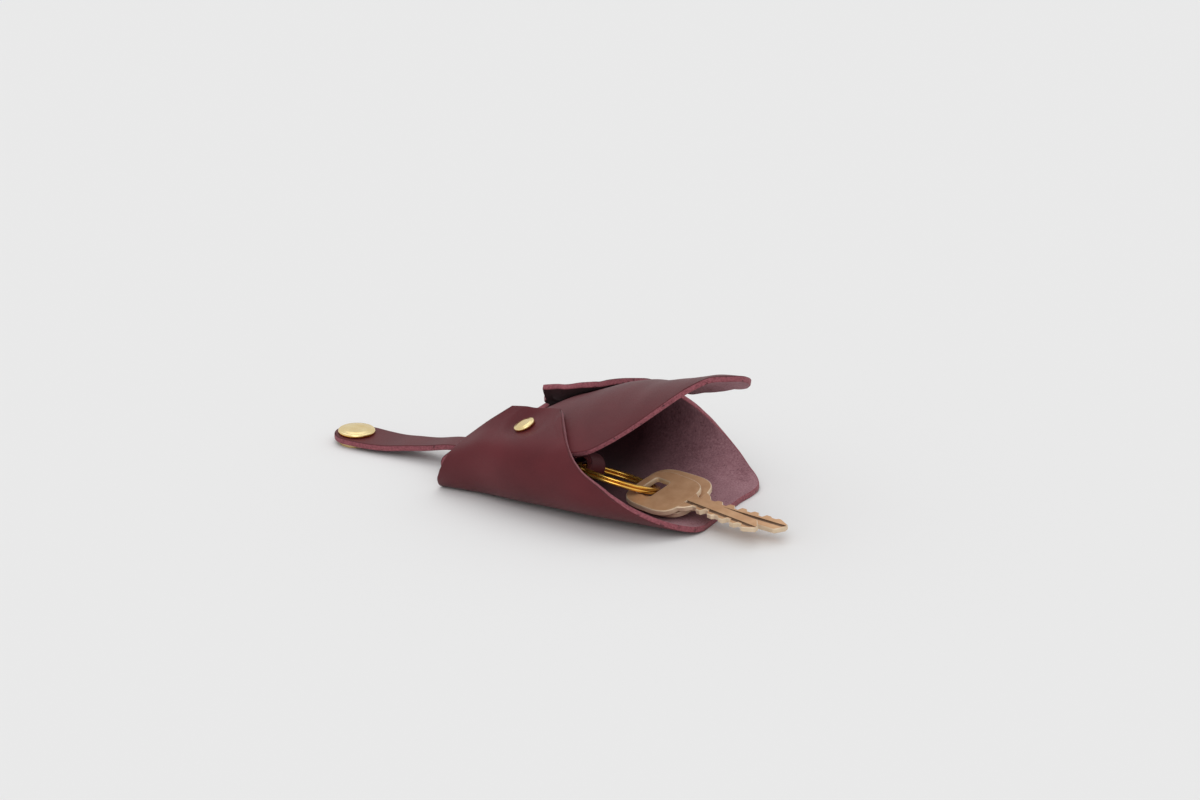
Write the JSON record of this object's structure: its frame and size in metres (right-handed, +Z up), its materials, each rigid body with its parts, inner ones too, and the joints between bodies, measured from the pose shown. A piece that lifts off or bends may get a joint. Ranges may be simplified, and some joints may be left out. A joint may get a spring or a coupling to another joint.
{
  "type": "leather key case",
  "caption": "Rolled leather key case with a bending front flap, a pull strap with a snap, a split ring and keys drawn in through the narrow end.",
  "frame": {"origin": "middle of the flat underside of the back panel, on the surface that the case lies on", "axes": "+X along the case from the narrow end with the strap to the open mouth with the keys, +Z up, +Y across the case"},
  "size_m": [0.1753, 0.08, 0.0513],
  "materials": {
    "leather_body": "smooth burgundy with cut edges",
    "leather_flap": "smooth burgundy with soft sheen",
    "leather_strap": "smooth burgundy with cut edges",
    "gold_cap": "polished gold plate",
    "gold_post": "gold plate, less polished",
    "spring_wire": "bright wire",
    "ring_gold": "polished gold plate",
    "key_metal": "worn nickel silver with a brushed face"
  },
  "bodies": {
    "case": {"back_panel": "leather_body", "near_wing": "leather_body", "far_wing": "leather_body", "front_root": "leather_flap", "wing_rivet_caps": "gold_cap", "wing_rivet_posts": "gold_post"},
    "flap": {"front_flap": "leather_flap"},
    "strap": {"strap_inner": "leather_strap", "strap_rivet_cap": "gold_cap", "strap_rivet_post": "gold_post", "snap_stud": "gold_post", "snap_eyelet": "gold_cap"},
    "strap_end": {"strap_tail": "leather_strap", "snap_cap": "gold_cap", "snap_socket": "gold_post", "snap_spring": "spring_wire"},
    "ring": {"split_ring": "ring_gold"},
    "front_key": {"key_front": "key_metal"},
    "rear_key": {"key_rear": "key_metal"}
  },
  "joints": [
    {"name": "flap_flex", "type": "hinge", "parent": "case", "child": "flap", "pos_m": [-0.0002, 0, 0.023], "axis": [0, 1, 0], "range_deg": [-2, 14], "stiffness_Nm_per_rad": 0.02},
    {"name": "strap_slide", "type": "slide", "parent": "case", "child": "strap", "axis": [-0.9936, 0.1132, 0], "range_m": [0, 0.014]},
    {"name": "strap_fold", "type": "hinge", "parent": "strap", "child": "strap_end", "pos_m": [-0.05476, -0.00049, 0.00695], "axis": [0.1132, 0.9936, 0], "range_deg": [0, 60]},
    {"name": "ring_swing", "type": "hinge", "parent": "strap", "child": "ring", "pos_m": [-0.00081, -0.00663, 0.0101], "axis": [-0.1132, -0.9936, 0], "range_deg": [0, 6]},
    {"name": "front_key_turn", "type": "hinge", "parent": "ring", "child": "front_key", "pos_m": [0.0262, -0.012, 0.00825], "axis": [-0.0256, -0.2079, 0.9778], "range_deg": [-6, 0]},
    {"name": "rear_key_turn", "type": "hinge", "parent": "ring", "child": "rear_key", "pos_m": [0.025, -0.0075, 0.0066], "axis": [-0.0085, -0.2079, 0.9781], "range_deg": [0, 8]}
  ]
}
